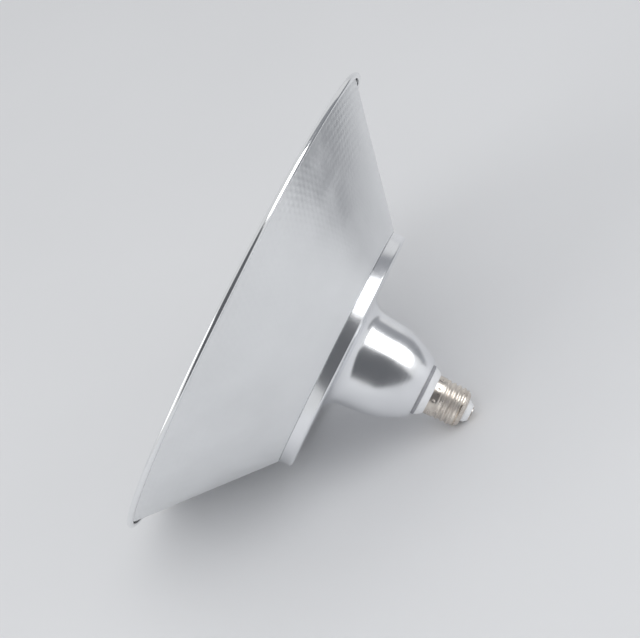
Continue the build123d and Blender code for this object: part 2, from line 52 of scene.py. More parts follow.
shade_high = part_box("reflector_shade")[1]
housing_low, housing_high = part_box("lamp_housing")
rim_radius = 160.0 * MM
band_bottom = housing_low.z
sheet = 0.8 * MM
bead_radius = 2.0 * MM
bead_turn = 265
shoulder_radius = 81.1 * MM
neck_radius = 79.0 * MM
neck_hole_radius = 69.4 * MM
neck_bend = 1.0 * MM
neck_flange_level = shade_high.z - sheet / 2
shoulder_level = band_bottom - sheet / 2

emboss_pitch = 3.8 * MM         # from one row of dimples to the next
emboss_round = 190              # dimples in one row
emboss_depth = 0.07 * MM        # near the shoulder
emboss_rim_depth = 0.24 * MM    # near the rim
emboss_steps = 4                # mesh faces across a dimple
hidden_shift = 0.01 * MM        # from the sheet's middle to the unseen side of each half


def bent(corners, bends):
    """Points along straight runs that are joined by tangent arcs, as bent sheet is."""
    path = [Vector(corners[0])]
    for before, corner, after, bend in zip(corners, corners[1:], corners[2:], bends):
        corner = Vector(corner)
        back = (Vector(before) - corner).normalized()
        ahead = (Vector(after) - corner).normalized()
        half = back.angle(ahead) / 2
        centre = corner + (back + ahead).normalized() * bend / sin(half)
        start = corner + back * bend / tan(half) - centre
        turn = (pi - 2 * half) * (1 if back.cross(ahead) < 0 else -1)
        steps = max(3, round(abs(turn) / radians(6)))
        for step in range(steps + 1):
            path.append(centre + Matrix.Rotation(turn * step / steps, 2) @ start)
    path.append(Vector(corners[-1]))
    return path


def arc(centre, radius, start, sweep, steps):
    """Points along an arc; angles are in degrees."""
    angles = [radians(start + sweep * step / steps) for step in range(steps + 1)]
    return [Vector((centre[0] + radius * cos(a), centre[1] + radius * sin(a))) for a in angles]


def sheet_section(path, thickness):
    """The closed outline of a sheet whose middle follows the path of (radius, height) points."""
    path = [p for i, p in enumerate(path) if i == 0 or (p - path[i - 1]).length > 1e-6]
    left, right = [], []
    for i, point in enumerate(path):
        along = (path[min(i + 1, len(path) - 1)] - path[max(i - 1, 0)]).normalized()
        across = Vector((-along.y, along.x)) * thickness / 2
        left.append(point + across)
        right.append(point - across)
    return left + right[::-1]


def eased(outline, ease):
    """Rounds every corner of a closed outline; ease is one radius or one for each corner."""
    corners = [Vector(p) for p in outline]
    eases = ease if isinstance(ease, list) else [ease] * len(corners)
    path = []
    for i, corner in enumerate(corners):
        before, after = corners[i - 1], corners[(i + 1) % len(corners)]
        if eases[i] == 0:
            path.append(corner)
        else:
            path += bent([before, corner, after], [eases[i]])[1:-1]
    return path


def finish_mesh(name, bm, material, sharp=40):
    """Makes a bmesh into a piece of the lamp: normals out, smooth, creased at sharp edges."""
    bmesh.ops.remove_doubles(bm, verts=bm.verts, dist=1e-7)
    bmesh.ops.recalc_face_normals(bm, faces=bm.faces)
    mesh = bpy.data.meshes.new(name)
    bm.to_mesh(mesh)
    bm.free()
    mesh.shade_smooth()
    mesh.set_sharp_from_angle(angle=radians(sharp))
    piece = bpy.data.objects.new(name, mesh)
    bpy.context.scene.collection.objects.link(piece)
    mesh.materials.append(material)
    return piece


def turned(name, outline, material, steps=256, sharp=40, shape=None):
    """Spins a closed outline of (radius, height) points about the lamp's axis."""
    bm = bmesh.new()
    rings = []
    for radius, height in outline:
        if radius < 1e-6:
            rings.append([bm.verts.new((0, 0, height))] * steps)
            continue
        ring = []
        for step in range(steps):
            a = 2 * pi * step / steps
            out = shape(a, radius, height) if shape else radius
            ring.append(bm.verts.new((out * cos(a), out * sin(a), height)))
        rings.append(ring)
    for ring, after in zip(rings, rings[1:] + rings[:1]):
        for i in range(steps):
            j = (i + 1) % steps
            corners = []
            for vert in (ring[i], ring[j], after[j], after[i]):
                if vert not in corners:
                    corners.append(vert)
            if len(corners) > 2:
                bm.faces.new(corners)
    return finish_mesh(name, bm, material, sharp)


def surface(name, colour, metal, rough, **fixed):
    """A new material with one principled shader; fixed values go straight on its sockets."""
    material = bpy.data.materials.new(name)
    material.use_nodes = True
    shader = material.node_tree.nodes["Principled BSDF"]
    shader.inputs["Base Color"].default_value = (*colour, 1)
    shader.inputs["Metallic"].default_value = metal
    shader.inputs["Roughness"].default_value = rough
    for socket, value in fixed.items():
        shader.inputs[socket.replace("_", " ")].default_value = value
    return material


def node(material, kind, inputs=None, **settings):
    """A node in the material's tree; inputs are values or other nodes' outputs."""
    made = material.node_tree.nodes.new(kind)
    for key, value in settings.items():
        setattr(made, key, value)
    for key, value in (inputs or {}).items():
        if isinstance(value, bpy.types.NodeSocket):
            material.node_tree.links.new(value, made.inputs[key])
        else:
            made.inputs[key].default_value = value
    return made


def noise(material, scale, detail=3, place=None, rough=0.5):
    """Noise over the piece in the lamp's own metres."""
    if place is None:
        place = node(material, "ShaderNodeTexCoord").outputs["Object"]
    inputs = {"Vector": place, "Scale": scale, "Detail": detail, "Roughness": rough}
    return node(material, "ShaderNodeTexNoise", inputs).outputs["Fac"]


def turning_lines(material, scale):
    """Noise that changes only with height and distance from the axis, as lathe marks do."""
    place = node(material, "ShaderNodeTexCoord").outputs["Object"]
    parts = node(material, "ShaderNodeSeparateXYZ", {0: place}).outputs
    flat = node(material, "ShaderNodeCombineXYZ", {"X": parts["X"], "Y": parts["Y"]}).outputs[0]
    out = node(material, "ShaderNodeVectorMath", {0: flat}, operation="LENGTH").outputs["Value"]
    ring = node(material, "ShaderNodeCombineXYZ", {"X": out, "Y": parts["Z"]}).outputs[0]
    return noise(material, scale, 2, ring)


def between(material, value, low, high, from_low=0.3, from_high=0.7):
    """Stretches a noise value to the range low to high."""
    inputs = {"Value": value, 1: from_low, 2: from_high, 3: low, 4: high}
    return node(material, "ShaderNodeMapRange", inputs).outputs[0]


def tint(material, value, first, second):
    """Mixes two colours by a value and puts the result on the shader."""
    mix = node(material, "ShaderNodeMix", {"Factor": value}, data_type="RGBA")
    mix.inputs["A"].default_value = (*first, 1)
    mix.inputs["B"].default_value = (*second, 1)
    plug(material, "Base Color", mix.outputs["Result"])


def plug(material, socket, value):
    """Links a value to a socket of the material's shader."""
    shader = material.node_tree.nodes["Principled BSDF"]
    material.node_tree.links.new(value, shader.inputs[socket])


def bump(material, value, height, strength=1.0):
    """Raises the surface by a value times a height in metres."""
    inputs = {"Height": value, "Distance": height, "Strength": strength}
    shader = material.node_tree.nodes["Principled BSDF"]
    before = shader.inputs["Normal"].links
    if before:
        inputs["Normal"] = before[0].from_socket
    plug(material, "Normal", node(material, "ShaderNodeBump", inputs).outputs[0])


# Satin anodised aluminium: cloudy in tone, with faint spinning lines under the hammering.
hammered = surface("hammered_aluminium", (0.87, 0.88, 0.89), 1.0, 0.38)
tint(hammered, between(hammered, noise(hammered, 30), 0, 1), (0.85, 0.86, 0.87), (0.90, 0.91, 0.92))
plug(hammered, "Roughness", between(hammered, noise(hammered, 60, 4), 0.34, 0.44))
bump(hammered, turning_lines(hammered, 2200), 0.01 * MM, 0.3)
bump(hammered, noise(hammered, 1500, 2), 0.01 * MM, 0.25)

rolled = surface("rolled_edge_aluminium", (0.86, 0.87, 0.88), 1.0, 0.12)
plug(rolled, "Roughness", between(rolled, noise(rolled, 90, 4), 0.09, 0.18))
bump(rolled, turning_lines(rolled, 3000), 0.004 * MM, 0.3)

bead_middle = Vector((rim_radius - bead_radius, bead_radius))
bead_roll = bead_radius - sheet / 2
cone_top = Vector((shoulder_radius, shoulder_level))
to_bead = bead_middle - cone_top
cone_fall = atan2(to_bead.y, to_bead.x) - asin(bead_roll / to_bead.length)
cone_length = sqrt(to_bead.length**2 - bead_roll**2)
cone_along = Vector((cos(cone_fall), sin(cone_fall)))
cone_out = Vector((-sin(cone_fall), cos(cone_fall)))
cone_start = neck_bend * tan(-cone_fall / 2)
emboss_rows = floor((cone_length - cone_start) / emboss_pitch) - 1
emboss_from = cone_length - (emboss_rows + 0.5) * emboss_pitch


def hammering():
    """A node tree that presses staggered rows of shallow dimples into a cone."""
    tree = bpy.data.node_groups.new("hammering", "GeometryNodeTree")
    face = tree.interface
    face.new_socket("Geometry", in_out="INPUT", socket_type="NodeSocketGeometry")
    face.new_socket("Geometry", in_out="OUTPUT", socket_type="NodeSocketGeometry")
    labels = ("Pitch", "Round", "Depth", "Rim Depth", "Top Radius", "Top Height", "Fall", "From")
    for label in labels + ("Rows",):
        face.new_socket(label, in_out="INPUT", socket_type="NodeSocketFloat")
    face.new_socket("Material", in_out="INPUT", socket_type="NodeSocketMaterial")
    given = tree.nodes.new("NodeGroupInput").outputs

    def put(kind, *values, **settings):
        made = tree.nodes.new(kind)
        for key, value in settings.items():
            setattr(made, key, value)
        for slot, value in enumerate(values):
            if isinstance(value, bpy.types.NodeSocket):
                tree.links.new(value, made.inputs[slot])
            elif value is not None:
                made.inputs[slot].default_value = value
        return made.outputs

    def maths(operation, *values):
        return put("ShaderNodeMath", *values, operation=operation)[0]

    place = put("ShaderNodeSeparateXYZ", put("GeometryNodeInputPosition")[0])
    flat = put("ShaderNodeCombineXYZ", place[0], place[1])[0]
    radius = put("ShaderNodeVectorMath", flat, operation="LENGTH")["Value"]
    angle = maths("ARCTAN2", place[1], place[0])
    fall_cos = maths("COSINE", given["Fall"])
    fall_sin = maths("SINE", given["Fall"])
    outward = maths("MULTIPLY", maths("SUBTRACT", radius, given["Top Radius"]), fall_cos)
    downward = maths("MULTIPLY", maths("SUBTRACT", place[2], given["Top Height"]), fall_sin)
    slant = maths("SUBTRACT", maths("ADD", outward, downward), given["From"])
    row = maths("DIVIDE", slant, given["Pitch"])
    row_margin = 0.001          # keeps a point on a row's edge in its own row
    index = maths("FLOOR", maths("ADD", row, row_margin))
    row_off = maths("SUBTRACT", maths("SUBTRACT", row, index), 0.5)
    stagger = maths("MULTIPLY", maths("FLOORED_MODULO", index, 2), 0.5)
    turn = maths("DIVIDE", maths("MULTIPLY", angle, given["Round"]), 2 * pi)
    turn_off = maths("SUBTRACT", maths("FRACT", maths("ADD", turn, stagger)), 0.5)
    row_fall = maths("SUBTRACT", 1, maths("MULTIPLY", maths("MULTIPLY", row_off, row_off), 4))
    turn_fall = maths("SUBTRACT", 1, maths("MULTIPLY", maths("MULTIPLY", turn_off, turn_off), 4))
    first = maths("GREATER_THAN", row, 0)
    last = maths("LESS_THAN", row, given["Rows"])
    press = maths("MULTIPLY", maths("MULTIPLY", row_fall, turn_fall), maths("MULTIPLY", first, last))
    reach = maths("POWER", maths("DIVIDE", row, given["Rows"]), 3)
    deeper = maths("MULTIPLY", maths("SUBTRACT", given["Rim Depth"], given["Depth"]), reach)
    depth = maths("MULTIPLY", press, maths("ADD", given["Depth"], deeper))
    inward = maths("MULTIPLY", depth, fall_sin)
    push = put(
        "ShaderNodeCombineXYZ",
        maths("MULTIPLY", inward, maths("COSINE", angle)),
        maths("MULTIPLY", inward, maths("SINE", angle)),
        maths("MULTIPLY", maths("MULTIPLY", depth, fall_cos), -1),
    )[0]
    pressed = put("GeometryNodeSetPosition", given["Geometry"], None, None, push)[0]
    whole = put("GeometryNodeRealizeInstances", pressed)[0]
    done = put("GeometryNodeSetMaterial", whole, None, given["Material"])[0]
    tree.links.new(done, tree.nodes.new("NodeGroupOutput").inputs[0])
    return tree


def set_inputs(modifier, **values):
    """Sets a Geometry Nodes modifier's inputs by their labels' identifiers."""
    for item in modifier.node_group.interface.items_tree:
        if item.in_out == "INPUT" and item.name.replace(" ", "_") in values:
            modifier[item.identifier] = values[item.name.replace(" ", "_")]


def made_plain(piece):
    """Turns a piece with a live modifier into its plain mesh."""
    graph = bpy.context.evaluated_depsgraph_get()
    mesh = bpy.data.meshes.new_from_object(piece.evaluated_get(graph))
    piece.modifiers.clear()
    piece.data = mesh
    return piece


hammering_tree = hammering()


def embossed_face(name, side):
    """Half the sheet's thickness, with the dimples on its outer (1) or inner (-1) side."""
    marks = [cone_start, emboss_from]
    steps = range(1, emboss_rows * emboss_steps + 1)
    marks += [emboss_from + emboss_pitch * i / emboss_steps for i in steps]
    marks.append(cone_length)
    shown = cone_out * side * sheet / 2
    hidden = cone_out * side * hidden_shift
    outline = [cone_top + cone_along * mark + shown for mark in marks]
    outline += [cone_top + cone_along * mark + hidden for mark in (cone_length, cone_start)]
    piece = turned(name, outline, hammered, emboss_round * emboss_steps)
    press = piece.modifiers.new("hammering", "NODES")
    press.node_group = hammering_tree
    set_inputs(
        press,
        Pitch=emboss_pitch,
        Round=float(emboss_round),
        Depth=emboss_depth,
        Rim_Depth=emboss_rim_depth,
        Top_Radius=cone_top.x,
        Top_Height=cone_top.y,
        Fall=cone_fall,
        From=emboss_from,
        Rows=float(emboss_rows),
        Material=hammered,
    )
    return made_plain(piece)


cone_outside = embossed_face("shade_cone_outside", 1)
cone_inside = embossed_face("shade_cone_inside", -1)

bead_path = arc(bead_middle, bead_roll, degrees(cone_fall) - 90, bead_turn, 44)
rim_bead = turned("shade_rim_bead", sheet_section(bead_path, sheet), rolled, 384, 60)

neck_path = bent(
    [
        (neck_hole_radius, neck_flange_level),
        (neck_radius - sheet / 2, neck_flange_level),
        (neck_radius - sheet / 2, shoulder_level),
        cone_top,
        cone_top + cone_along * cone_start,
    ],
    [neck_bend, neck_bend / 2, neck_bend],
)
shade_neck = turned("shade_neck", sheet_section(neck_path[:-1], sheet), rolled, 256)

shade_pieces = [cone_outside, cone_inside, rim_bead, shade_neck]
for piece in shade_pieces:
    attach(piece, "root")
    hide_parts("reflector_shade")

# ---------------------------------------------------------------------------------------------
# Lamp housing. Thicker aluminium, drawn in one piece: a band turned down round the edge, a flat
# flange and a tall bell. It is turned on a lathe to take off the marks of the die, then polished.

housing_sheet = 1.5 * MM
band_radius = housing_high.x
band_corner = 1.6 * MM
band_edge = 0.5 * MM
flange_top = 75.0 * MM
bell_foot_radius = 33.0 * MM
bell_foot_bend = 10.0 * MM
bell_taper = radians(5.5)
bell_straight = 21.3 * MM
nose_radius = 19.4 * MM
nose_hole_radius = 12.2 * MM
nose_top = housing_high.z

polished = surface("polished_aluminium", (0.88, 0.89, 0.91), 1.0, 0.22)
tint(polished, between(polished, noise(polished, 40), 0, 1), (0.86, 0.87, 0.89), (0.90, 0.91, 0.93))
plug(polished, "Roughness", between(polished, noise(polished, 70, 4), 0.19, 0.26))
bump(polished, turning_lines(polished, 2600), 0.006 * MM, 0.45)
bump(polished, turning_lines(polished, 700), 0.03 * MM, 0.8)

flange_level = flange_top - housing_sheet / 2
wall_shift = housing_sheet / 2 / cos(bell_taper)
foot = (bell_foot_radius + housing_sheet / 2 * tan(bell_taper) - wall_shift, flange_level)
side_radius = bell_foot_radius - bell_straight * tan(bell_taper) - wall_shift
bell_side = Vector((side_radius, flange_top + bell_straight))
nose_edge = Vector((nose_radius, nose_top - housing_sheet / 2))

# The bell's upper part is one arc, tangent to its side and ending at the nose.
chord = nose_edge - bell_side
inward = Vector((-cos(bell_taper), -sin(bell_taper)))
bell_radius = chord.length**2 / (2 * chord.dot(inward))
bell_middle = bell_side + inward * bell_radius
first = degrees(atan2(bell_side.y - bell_middle.y, bell_side.x - bell_middle.x))
last = degrees(atan2(nose_edge.y - bell_middle.y, nose_edge.x - bell_middle.x))
bell_arc = arc(bell_middle, bell_radius, first, last - first, 40)
lower_path = bent(
    [
        (band_radius - housing_sheet / 2, band_bottom),
        (band_radius - housing_sheet / 2, flange_level),
        foot,
        bell_side,
    ],
    [band_corner - housing_sheet / 2, bell_foot_bend + housing_sheet / 2],
)
nose_path = bent([bell_arc[-3], nose_edge, (nose_hole_radius, nose_edge.y)], [0.8 * MM])
housing_path = lower_path[:-1] + bell_arc[:-3] + nose_path
housing_outline = sheet_section(housing_path, housing_sheet)
edge_eases = [band_edge] + [0] * (len(housing_outline) - 2) + [band_edge]
housing = turned("lamp_housing_shell", eased(housing_outline, edge_eases), polished, 384, 50)
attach(housing, "root")
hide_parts("lamp_housing")

# ---------------------------------------------------------------------------------------------
# Nose gasket. A flat ring of grey silicone between the housing's nose and the collar, which
# shows as a grey line round the nose. Its grey is also painted shade: it stands for the
# shadowed gap between the nose and the collar.

gasket_low, gasket_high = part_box("nose_gasket")
gasket_radius = gasket_high.x
gasket_bore = 12.2 * MM

# Painted shade: the ring's grey tone also stands for the shadow in the gap at the nose.
silicone_and_gap_shade = surface("grey_silicone", (0.36, 0.36, 0.39), 0.0, 0.62)
tint(silicone_and_gap_shade, between(silicone_and_gap_shade, noise(silicone_and_gap_shade, 400), 0, 1), (0.32, 0.32, 0.35), (0.39, 0.395, 0.42))
bump(silicone_and_gap_shade, noise(silicone_and_gap_shade, 2500, 4), 0.02 * MM, 0.4)


gasket = turned(
    "nose_gasket_ring",
    eased(
        [
            (gasket_bore, gasket_low.z),
            (gasket_radius, gasket_low.z),
            (gasket_radius, gasket_high.z),
            (gasket_bore, gasket_high.z),
        ],
        0.5 * MM,
    ),
    silicone_and_gap_shade,
    192,
)
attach(gasket, "root")
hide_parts("nose_gasket")

# ---------------------------------------------------------------------------------------------
# Cap holder. White polyester moulding: a tapered collar, a spigot down through the nose into
# the lock nut, and a stepped spigot up, on which the screw shell is punched fast.

holder_low, holder_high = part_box("cap_holder")
shell_low, shell_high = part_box("cap_shell")
collar_bottom = gasket_high.z
collar_base = 16.8 * MM
collar_top = 13.9 * MM
skirt_bottom = shell_low.z
skirt_height = 5.1 * MM
spigot_radius = 12.0 * MM
lead_bore = 8.3 * MM
skirt_spigot = 12.7 * MM
thread_spigot = 11.6 * MM

white = surface("white_polyester", (0.83, 0.84, 0.86), 0.0, 0.33, Specular_IOR_Level=0.5)
tint(white, between(white, noise(white, 250, 4), 0, 1), (0.80, 0.81, 0.83), (0.86, 0.87, 0.89))
plug(white, "Roughness", between(white, noise(white, 900, 3), 0.28, 0.42))
bump(white, noise(white, 3500, 3), 0.01 * MM, 0.35)

step_top = skirt_bottom + skirt_height - 0.6 * MM
holder = turned(
    "cap_holder_collar",
    eased(
        [
            (lead_bore, holder_low.z),
            (spigot_radius, holder_low.z),
            (spigot_radius, collar_bottom),
            (collar_base, collar_bottom),
            (collar_top, skirt_bottom),
            (skirt_spigot, skirt_bottom),
            (skirt_spigot, step_top),
            (thread_spigot, step_top),
            (thread_spigot, holder_high.z),
            (lead_bore, holder_high.z),
        ],
        [0.3 * MM, 0.3 * MM, 0, 0.5 * MM, 0.4 * MM, 0, 0.2 * MM, 0, 0.3 * MM, 0.3 * MM],
    ),
    white,
    192,
)
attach(holder, "root")
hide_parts("cap_holder")

# ---------------------------------------------------------------------------------------------
# Screw shell. Thin brass, rolled with a round E27 thread and nickel plated. Its plain skirt is
# punched into the holder's spigot all round, and its end is drawn in round the insulator.

crest_radius = 13.1 * MM
root_radius = 12.05 * MM
skirt_radius = 13.15 * MM
shell_wall = 0.35 * MM
thread_pitch = 3.629 * MM
thread_height = 15.2 * MM
mouth_radius = 7.5 * MM
end_radius = 8.3 * MM
crimp_count = 10
crimp_start = radians(33)
crimp_width = 1.0 * MM
run_out_turn = 0.8              # of a turn, over which the thread rises from the shell and fades
thread_start_drop = 0.2 * MM    # from the crests to the plain shell where the thread begins
crimp_depth = 0.3 * MM
rows_in_pitch = 20

nickel = surface("nickel_plate", (0.74, 0.70, 0.64), 1.0, 0.16)
tint(nickel, between(nickel, noise(nickel, 180, 5), 0, 1), (0.66, 0.60, 0.54), (0.78, 0.73, 0.67))
plug(nickel, "Roughness", between(nickel, noise(nickel, 300, 5), 0.24, 0.36))
bump(nickel, noise(nickel, 1800, 3), 0.01 * MM, 0.25)

skirt_top = skirt_bottom + skirt_height
thread_top = skirt_top + thread_height
shell_top = shell_high.z


def shell_radius(angle, radius, height):
    """The outside of the shell: skirt with punched dimples, then the round thread."""
    if skirt_bottom < height < skirt_top:
        middle = (skirt_bottom + skirt_top) / 2
        step = 2 * pi / crimp_count
        off = ((angle - crimp_start + step / 2) % step - step / 2) * radius
        reach = hypot(off, height - middle) / crimp_width
        return radius - crimp_depth * max(0, 1 - reach**2)
    if skirt_top <= height <= thread_top:
        wave = (1 + cos(2 * pi * ((height - skirt_top) / thread_pitch - angle / (2 * pi)))) / 2
        run_in = min(1, (height - skirt_top) / (run_out_turn * thread_pitch))
        run_out = min(1, (thread_top - height) / (run_out_turn * thread_pitch))
        low = root_radius * run_in + (crest_radius - thread_start_drop) * (1 - run_in)
        return radius - crest_radius + low + (crest_radius - low) * wave * run_out
    return radius


def shell_side(shift, rows):
    """Points up the shell's wall, shifted inwards by the wall for its inside."""
    side = [Vector((skirt_radius - shift, skirt_bottom + skirt_height * i / 16)) for i in range(16)]
    side += [
        Vector((crest_radius - shift, skirt_top + thread_height * i / rows)) for i in range(rows + 1)
    ]
    drop = shell_top - thread_top - shift
    turn_in = root_radius - end_radius - shift
    quarter = [radians(a) for a in range(8, 89, 8)]
    side += [Vector((end_radius + turn_in * cos(a), thread_top + drop * sin(a))) for a in quarter]
    side.append(Vector((mouth_radius, shell_top - shift)))
    return side


thread_rows = round(rows_in_pitch * thread_height / thread_pitch)
shell_outline = shell_side(0, thread_rows) + shell_side(shell_wall, thread_rows)[::-1]
shell = turned("cap_screw_shell", shell_outline, nickel, 192, 60, shell_radius)
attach(shell, "root")
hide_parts("cap_shell")

# ---------------------------------------------------------------------------------------------
# Insulator and centre contact. A white moulded dome closes the shell's end, and a nickelled
# disc is riveted through it, where the lampholder's spring touches.

insulator_low, insulator_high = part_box("cap_insulator")
contact_low, contact_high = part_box("centre_contact")
flange_radius = 8.3 * MM
dome_base = 7.3 * MM
dome_tip = 5.4 * MM
stem_radius = 1.4 * MM
flange_height = 1.35 * MM
contact_radius = 4.8 * MM

insulator = turned(
    "cap_insulator_dome",
    eased(
        [
            (stem_radius, insulator_low.z),
            (flange_radius, insulator_low.z),
            (flange_radius, insulator_low.z + flange_height),
            (dome_base, insulator_low.z + flange_height),
            (dome_base, shell_top + 1.2 * MM),
            (dome_tip, insulator_high.z),
            (stem_radius, insulator_high.z),
        ],
        [0, 0.3 * MM, 0.2 * MM, 0, 1.5 * MM, 0.8 * MM, 0],
    ),
    white,
    128,
)
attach(insulator, "root")
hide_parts("cap_insulator")

contact = turned(
    "centre_contact_disc",
    eased(
        [
            (0, contact_low.z),
            (stem_radius, contact_low.z),
            (stem_radius, insulator_high.z),
            (contact_radius, insulator_high.z),
            (contact_radius, contact_high.z),
            (0, contact_high.z),
        ],
        [0, 0.3 * MM, 0, 0.15 * MM, 0.3 * MM, 0],
    ),
    nickel,
    96,
)
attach(contact, "root")
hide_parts("centre_contact")

# ---------------------------------------------------------------------------------------------
# Light unit. A turned aluminium disc carries the LED board on a thermal pad. White packages, each
# with a window of yellow phosphor, are soldered on the board in rings, with one plug connector.

led_low, led_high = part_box("led_packages")
led_rings = [(20.0 * MM, 12), (31.0 * MM, 18), (42.0 * MM, 24), (53.0 * MM, 32)]
led_length = 3.5 * MM
led_width = 2.8 * MM
led_height = led_high.z - led_low.z
window_margin = 0.9 * MM
window_rise = 0.03 * MM


def finish_node(name, first, second, metal, rough, scale, grain, **fixed):
    """Gives a CAD node its own cloudy, slightly grained material."""
    material = surface(name + "_finish", first, metal, rough, **fixed)
    tint(material, between(material, noise(material, scale), 0, 1), first, second)
    spread = noise(material, scale * 3, 4)
    plug(material, "Roughness", between(material, spread, rough * 0.85, min(1, rough * 1.2)))
    bump(material, noise(material, scale * 8, 3), grain, 0.4)
    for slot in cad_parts[name].material_slots:
        slot.material = material
    return material


finish_node("heat_spreader", (0.74, 0.75, 0.76), (0.68, 0.69, 0.70), 1.0, 0.30, 60, 0.01 * MM)
finish_node("thermal_pad", (0.46, 0.52, 0.58), (0.42, 0.48, 0.54), 0.0, 0.60, 200, 0.02 * MM)
finish_node("led_board", (0.86, 0.86, 0.84), (0.82, 0.82, 0.80), 0.0, 0.32, 150, 0.005 * MM)
finish_node("board_connector", (0.84, 0.84, 0.81), (0.80, 0.80, 0.77), 0.0, 0.40, 500, 0.005 * MM)

package = surface("led_package", (0.86, 0.86, 0.83), 0.0, 0.4)
tint(package, between(package, noise(package, 900), 0, 1), (0.88, 0.88, 0.85), (0.82, 0.82, 0.79))
phosphor = surface("led_phosphor_gel", (0.90, 0.72, 0.16), 0.0, 0.5)
tint(phosphor, between(phosphor, noise(phosphor, 1500), 0, 1), (0.92, 0.75, 0.18), (0.86, 0.66, 0.12))


def ring_tree(name, sockets):
    """An empty tree with its inputs, and a helper that adds a node to it."""
    tree = bpy.data.node_groups.new(name, "GeometryNodeTree")
    tree.interface.new_socket("Geometry", in_out="OUTPUT", socket_type="NodeSocketGeometry")
    for label, kind in sockets:
        tree.interface.new_socket(label, in_out="INPUT", socket_type="NodeSocket" + kind)

    def put(kind, inputs=None, **settings):
        made = tree.nodes.new(kind)
        for key, value in settings.items():
            setattr(made, key, value)
        for key, value in (inputs or {}).items():
            if isinstance(value, bpy.types.NodeSocket):
                tree.links.new(value, made.inputs[key])
            else:
                made.inputs[key].default_value = value
        return made.outputs

    return tree, put


def ring_of_pieces(put, given, shape):
    """Sets a shape at equal steps round a ring, each turned to face outwards."""
    ring = put("GeometryNodeMeshCircle", {"Vertices": given["Count"], "Radius": given["Radius"]})
    raised = put("ShaderNodeCombineXYZ", {"Z": given["Level"]})[0]
    points = put("GeometryNodeSetPosition", {"Geometry": ring[0], "Offset": raised})[0]
    index = put("GeometryNodeInputIndex")[0]
    part = put("ShaderNodeMath", {0: index, 1: given["Count"]}, operation="DIVIDE")[0]
    turn = put("ShaderNodeMath", {0: part, 1: 2 * pi}, operation="MULTIPLY")[0]
    spin = put("ShaderNodeCombineXYZ", {"Z": turn})[0]
    rotation = put("FunctionNodeEulerToRotation", {0: spin})[0]
    placed = put(
        "GeometryNodeInstanceOnPoints", {"Points": points, "Instance": shape, "Rotation": rotation}
    )[0]
    return put("GeometryNodeRealizeInstances", {0: placed})[0]


def led_ring_tree():
    """Rings of packages: a white body and a phosphor window on its face."""
    labels = ("Radius", "Level", "Length", "Width", "Height", "Margin", "Rise")
    sockets = [("Count", "Int")] + [(label, "Float") for label in labels]
    sockets += [("Body", "Material"), ("Window", "Material")]
    tree, put = ring_tree("led_ring", sockets)
    given = put("NodeGroupInput")

    def block(width, length, height, drop, material):
        size = put("ShaderNodeCombineXYZ", {"X": width, "Y": length, "Z": height})[0]
        cube = put("GeometryNodeMeshCube", {"Size": size})[0]
        lowered = put("ShaderNodeCombineXYZ", {"Z": drop})[0]
        moved = put("GeometryNodeSetPosition", {"Geometry": cube, "Offset": lowered})[0]
        return put("GeometryNodeSetMaterial", {"Geometry": moved, "Material": material})[0]

    def less(value, amount):
        return put("ShaderNodeMath", {0: value, 1: amount}, operation="SUBTRACT")[0]

    body_height = less(given["Height"], given["Rise"])
    half = put("ShaderNodeMath", {0: body_height, 1: -0.5}, operation="MULTIPLY")[0]
    body = block(given["Width"], given["Length"], body_height, half, given["Body"])
    window = block(
        less(given["Width"], given["Margin"]),
        less(given["Length"], given["Margin"]),
        given["Rise"],
        put("ShaderNodeMath", {0: body_height, 1: -1.0, 2: 0.0}, operation="MULTIPLY_ADD")[0],
        given["Window"],
    )
    pair = tree.nodes.new("GeometryNodeJoinGeometry")
    tree.links.new(body, pair.inputs[0])
    tree.links.new(window, pair.inputs[0])
    done = ring_of_pieces(put, given, pair.outputs[0])
    tree.links.new(done, tree.nodes.new("NodeGroupOutput").inputs[0])
    return tree


def joined(name, parts):
    """Joins finished meshes into one piece and removes the loose ones."""
    bm = bmesh.new()
    materials = []
    for part in parts:
        start = len(bm.faces)
        bm.from_mesh(part.data)
        bm.faces.ensure_lookup_table()
        for face in bm.faces[start:]:
            material = part.data.materials[face.material_index]
            if material not in materials:
                materials.append(material)
            face.material_index = materials.index(material)
    mesh = bpy.data.meshes.new(name)
    bm.to_mesh(mesh)
    bm.free()
    for material in materials:
        mesh.materials.append(material)
    for part in parts:
        bpy.data.objects.remove(part)
    piece = bpy.data.objects.new(name, mesh)
    bpy.context.scene.collection.objects.link(piece)
    return piece


def from_tree(name, tree, **values):
    """A piece made wholly by a Geometry Nodes tree."""
    piece = bpy.data.objects.new(name, bpy.data.meshes.new(name))
    bpy.context.scene.collection.objects.link(piece)
    modifier = piece.modifiers.new(name, "NODES")
    modifier.node_group = tree
    set_inputs(modifier, **values)
    return made_plain(piece)


led_tree = led_ring_tree()
rings = []
for ring_radius, count in led_rings:
    rings.append(
        from_tree(
            "led_ring_%d" % count,
            led_tree,
            Count=count,
            Radius=ring_radius,
            Level=led_high.z,
            Length=led_length,
            Width=led_width,
            Height=led_height,
            Margin=window_margin,
            Rise=window_rise,
            Body=package,
            Window=phosphor,
        )
    )
leds = joined("led_rings", rings)
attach(leds, "root")
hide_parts("led_packages")

# ---------------------------------------------------------------------------------------------
# Screws. Zinc plated M3 pan heads with a cross recess. Six hold the LED board to the spreader,
# six clamp the diffuser's flange and the shade's neck flange under the band.

screw_head = 2.8 * MM
screw_head_height = 2.0 * MM
screw_shank = 1.5 * MM
recess_length = 3.4 * MM
recess_width = 0.8 * MM
recess_depth = 1.1 * MM
screws_in_ring = 6

zinc = surface("zinc_plated_steel", (0.70, 0.71, 0.73), 1.0, 0.28)
tint(zinc, between(zinc, noise(zinc, 700), 0, 1), (0.66, 0.67, 0.69), (0.74, 0.75, 0.76))
plug(zinc, "Roughness", between(zinc, noise(zinc, 1800), 0.22, 0.36))
bump(zinc, noise(zinc, 4000), 0.01 * MM, 0.3)


